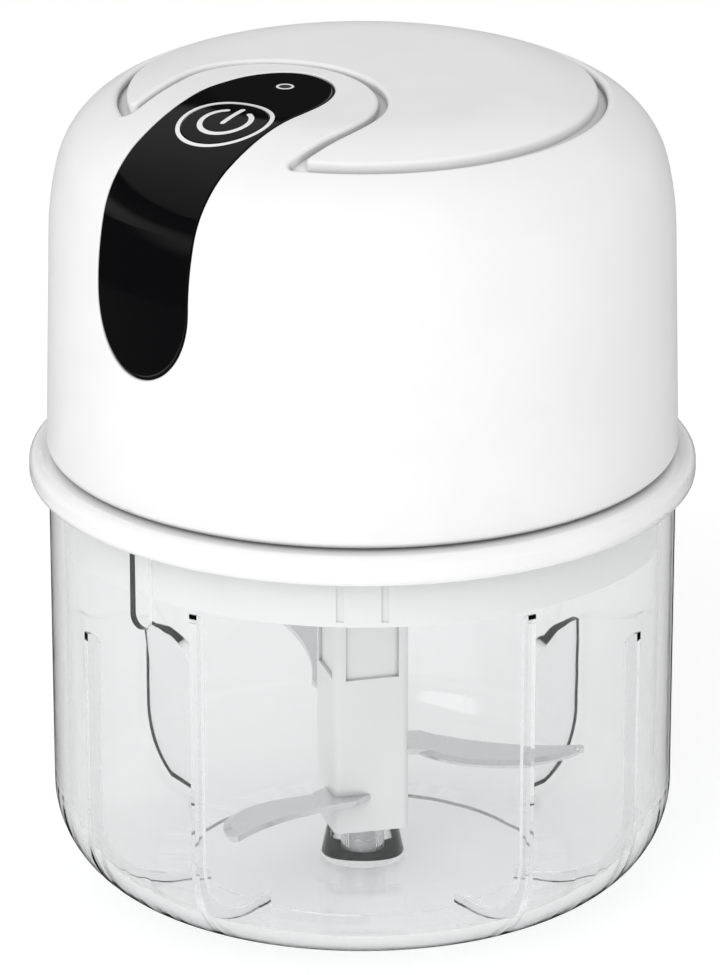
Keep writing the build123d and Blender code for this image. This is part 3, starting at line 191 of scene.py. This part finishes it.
def wrapped(name, colour, band):
    """Shrink sleeve of a cell: glossy film with a paler printed band and soft wrinkles."""
    made, tree, shader = new_material(name)
    place = tree.nodes.new("ShaderNodeTexCoord")
    wave = add_node(tree, "ShaderNodeTexWave", Scale=1 / (80 * MM), Distortion=0.0)
    wave.bands_direction = "X"
    tree.links.new(place.outputs["Object"], wave.inputs["Vector"])
    tint(tree, wave.outputs["Fac"], colour, band, shader.inputs["Base Color"], 0.86, 0.88)
    vary(tree, surface_noise(tree, 5.0), 0.2, 0.32, shader.inputs["Roughness"])
    relief(tree, shader, surface_noise(tree, 2.0, stretch=(0.3, 1, 1)), 0.03)
    return made


FINISHES = {
    "clear_plastic": clear("clear_plastic", (0.935, 0.94, 0.942), 0.02, 1.49),
    "steel": metal("steel", (0.6, 0.6, 0.61), 0.3),
    "blade_steel": metal("blade_steel", (0.74, 0.74, 0.75), 0.2, brush=(1, 1, 1), grain=0.4),
    # white_satin: painted shade in its grooves and gaps (reach 1.6 mm, darkest factor 0.42)
    "white_satin": moulded("white_satin", (0.86, 0.86, 0.86), 0.4, 0.22, 0.006, painted_shade=(1.6, 0.42)),
    "white_gloss": moulded("white_gloss", (0.88, 0.88, 0.88), 0.16, 5.0, 0.01, swirl=0.008),
    "silicone": moulded("silicone", (0.78, 0.78, 0.77), 0.6, 0.3, 0.01, specular=0.35),
    # plate_grey: painted shade in its grooves and gaps (reach 1.6 mm, darkest factor 0.55)
    "plate_grey": moulded("plate_grey", (0.84, 0.84, 0.843), 0.45, 0.2, 0.006, painted_shade=(1.6, 0.55)),
    "black_gloss": moulded("black_gloss", (0.003, 0.003, 0.0035), 0.06, 8.0, 0.002, specular=0.3),
    "light_white": moulded("light_white", (0.84, 0.84, 0.85), 0.3, 0.4, 0.003),
    "dark_plastic": moulded("dark_plastic", (0.03, 0.03, 0.032), 0.5, 0.25, 0.01, swirl=0.08),
    "board_green": circuit("board_green", (0.02, 0.16, 0.06)),
    "lens_clear": moulded("lens_clear", (0.05, 0.05, 0.055), 0.12, 1.0, 0.004),
    "grey_plastic": moulded("grey_plastic", (0.42, 0.43, 0.44), 0.5, 0.25, 0.01, swirl=0.04),
    "gear_plastic": moulded("gear_plastic", (0.8, 0.78, 0.7), 0.42, 0.3, 0.006, swirl=0.03),
    "brass": metal("brass", (0.78, 0.6, 0.3), 0.28),
    "armature_steel": metal("armature_steel", (0.3, 0.3, 0.31), 0.45, brush=(0.2, 0.2, 8)),
    "copper": metal("copper", (0.8, 0.45, 0.3), 0.3, brush=(6, 6, 1)),
    "magnet": metal("magnet", (0.13, 0.13, 0.14), 0.6, brush=(1, 1, 1), grain=0.12, height=0.02),
    "cell_wrap": wrapped("cell_wrap", (0.04, 0.22, 0.5), (0.82, 0.84, 0.86)),
    "socket_steel": metal("socket_steel", (0.72, 0.72, 0.74), 0.16, brush=(1, 8, 1)),
    "wire_red": moulded("wire_red", (0.55, 0.03, 0.03), 0.45, 0.3, 0.01, swirl=0.1),
    "cable_white": moulded("cable_white", (0.8, 0.8, 0.8), 0.5, 0.3, 0.01, swirl=0.02),
}
SLOT_OF = {row["node"]: row["material_slot"] for row in frame["record"]["subparts"]}
for node_name, shown in frame["nodes"].items():
    for held in shown.material_slots:
        held.material = FINISHES[SLOT_OF[node_name]]

# ---------------------------------------------------------------- small pieces
def lathe(name, profile, place, finish, steps=72):
    """A closed ring of revolution from a profile of (radius, height) pairs in millimetres."""
    made = bmesh.new()
    rings = []
    for step in range(steps):
        turn = 2 * pi * step / steps
        rings.append([made.verts.new((r * MM * cos(turn), r * MM * sin(turn), z * MM))
                      for r, z in profile])
    for here, after in zip(rings, rings[1:] + rings[:1]):
        for index in range(len(profile)):
            follow = (index + 1) % len(profile)
            made.faces.new((here[index], after[index], after[follow], here[follow]))
    bmesh.ops.recalc_face_normals(made, faces=made.faces)
    mesh = bpy.data.meshes.new(name)
    made.to_mesh(mesh)
    made.free()
    for face in mesh.polygons:
        face.use_smooth = True
    piece = bpy.data.objects.new(name, mesh)
    piece.matrix_world = place
    mesh.materials.append(finish)
    bpy.context.scene.collection.objects.link(piece)
    return piece


# bright collar of the status light, let into its window in the crown
LED_RING_OUT = 1.24
LED_RING_IN = 0.86
LED_RING_PROUD = 0.03
LED_RING_LOW = -0.4
LED_RING_BEVEL = 0.06
lens_low, lens_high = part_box("led_lens")
lens_middle = (Vector(lens_low) + Vector(lens_high)) / 2
ring_spot = Matrix.Translation((lens_middle.x, lens_middle.y, lens_high[2]))
ring_profile = [(LED_RING_IN, LED_RING_LOW), (LED_RING_OUT, LED_RING_LOW), (LED_RING_OUT, 0.0),
                (LED_RING_OUT - LED_RING_BEVEL, LED_RING_PROUD),
                (LED_RING_IN + LED_RING_BEVEL, LED_RING_PROUD), (LED_RING_IN, 0.0)]
led_ring = lathe("led_ring", ring_profile, ring_spot, FINISHES["light_white"])
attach(led_ring, "head")

# ---------------------------------------------------------------- studio
bpy.context.scene.view_settings.view_transform = "Standard"

FLOOR_HALF = 6.0
FLOOR_GLOW = 0.16
SKY_STRENGTH = 0.85
floor_mesh = bpy.data.meshes.new("floor")
corners = [(-FLOOR_HALF, -FLOOR_HALF), (FLOOR_HALF, -FLOOR_HALF), (FLOOR_HALF, FLOOR_HALF),
           (-FLOOR_HALF, FLOOR_HALF)]
floor_mesh.from_pydata([(x, y, 0) for x, y in corners], [], [(0, 1, 2, 3)])
floor = bpy.data.objects.new("floor", floor_mesh)
bpy.context.scene.collection.objects.link(floor)
paper = moulded("floor", (0.97, 0.97, 0.97), 0.6, 2.0, 0.01, swirl=0.004, specular=0.2)
paper_shader = paper.node_tree.nodes["Principled BSDF"]
paper_shader.inputs["Emission Color"].default_value = (1, 1, 1, 1)
paper_shader.inputs["Emission Strength"].default_value = FLOOR_GLOW
floor_mesh.materials.append(paper)
floor.visible_glossy = False

# sky: even white for lighting and through the bowl; reflections see a bright ceiling and a low band
world = bpy.data.worlds.new("studio")
bpy.context.scene.world = world
world.use_nodes = True
sky = world.node_tree
backdrop = sky.nodes["Background"]
place = sky.nodes.new("ShaderNodeTexCoord")
split = sky.nodes.new("ShaderNodeSeparateXYZ")
height_of = add_node(sky, "ShaderNodeMapRange", From_Min=-1.0, From_Max=1.0)
ramp = sky.nodes.new("ShaderNodeValToRGB")
rays = sky.nodes.new("ShaderNodeLightPath")
choose = sky.nodes.new("ShaderNodeMix")
choose.data_type = "RGBA"
STUDIO = ((-1.0, 0.03), (-0.36, 0.03), (-0.32, 0.1), (-0.27, 0.02), (-0.02, 0.02), (0.04, 0.5),
          (0.12, 0.55), (0.2, 0.05), (0.42, 0.01), (0.45, 0.3), (1.0, 0.6))
stops = ramp.color_ramp.elements
for index, (height, bright) in enumerate(STUDIO):
    at = (height + 1) / 2
    stop = stops[index] if index < 2 else stops.new(at)
    stop.position = at
    stop.color = (bright, bright, bright, 1)
sky.links.new(place.outputs["Generated"], split.inputs["Vector"])
sky.links.new(split.outputs["Z"], height_of.inputs["Value"])
sky.links.new(height_of.outputs["Result"], ramp.inputs["Fac"])
mirrored = sky.nodes.new("ShaderNodeMath")
mirrored.operation = "SUBTRACT"
mirrored.use_clamp = True
sky.links.new(rays.outputs["Is Glossy Ray"], mirrored.inputs[0])
sky.links.new(rays.outputs["Is Transmission Ray"], mirrored.inputs[1])
sky.links.new(mirrored.outputs["Value"], choose.inputs["Factor"])
sky_plain, sky_mirrored, sky_out = choose.inputs[6], choose.inputs[7], choose.outputs[2]
sky_plain.default_value = (1.0, 1.0, 1.0, 1)
sky.links.new(ramp.outputs["Color"], sky_mirrored)
sky.links.new(sky_out, backdrop.inputs["Color"])
backdrop.inputs["Strength"].default_value = SKY_STRENGTH


def softbox(name, azimuth, elevation, distance, size, watts):
    """A square softbox aimed at the middle of the object; azimuth 0 is the front, 90 the right."""
    spot = Vector((sin(radians(azimuth)) * cos(radians(elevation)),
                   -cos(radians(azimuth)) * cos(radians(elevation)), sin(radians(elevation))))
    lamp = bpy.data.lights.new(name, "AREA")
    lamp.shape = "SQUARE"
    lamp.size = size
    lamp.energy = watts
    box = bpy.data.objects.new(name, lamp)
    box.location = TARGET + spot * distance
    box.rotation_mode = "QUATERNION"
    box.rotation_quaternion = (-spot).to_track_quat("-Z", "Y")
    box.visible_glossy = False
    bpy.context.scene.collection.objects.link(box)


TARGET = Vector((0, 0, 56.1 * MM))
softbox("key", -25, 28, 1.1, 0.9, 4.2)

# ---------------------------------------------------------------- camera
CAMERA_TILT = radians(19.932)
CAMERA_AWAY = 1.3
SENSOR_FRAME = 975       # the frame's long side, which the sensor's width stands for
lens = bpy.data.cameras.new("camera")
lens.lens = 347.18
lens.sensor_width = 36.0
lens.shift_x = -2.5 / SENSOR_FRAME
camera = bpy.data.objects.new("camera", lens)
camera.location = TARGET + CAMERA_AWAY * Vector((0, -cos(CAMERA_TILT), sin(CAMERA_TILT)))
camera.rotation_euler = (radians(90) - CAMERA_TILT, 0, 0)
bpy.context.scene.collection.objects.link(camera)
bpy.context.scene.camera = camera
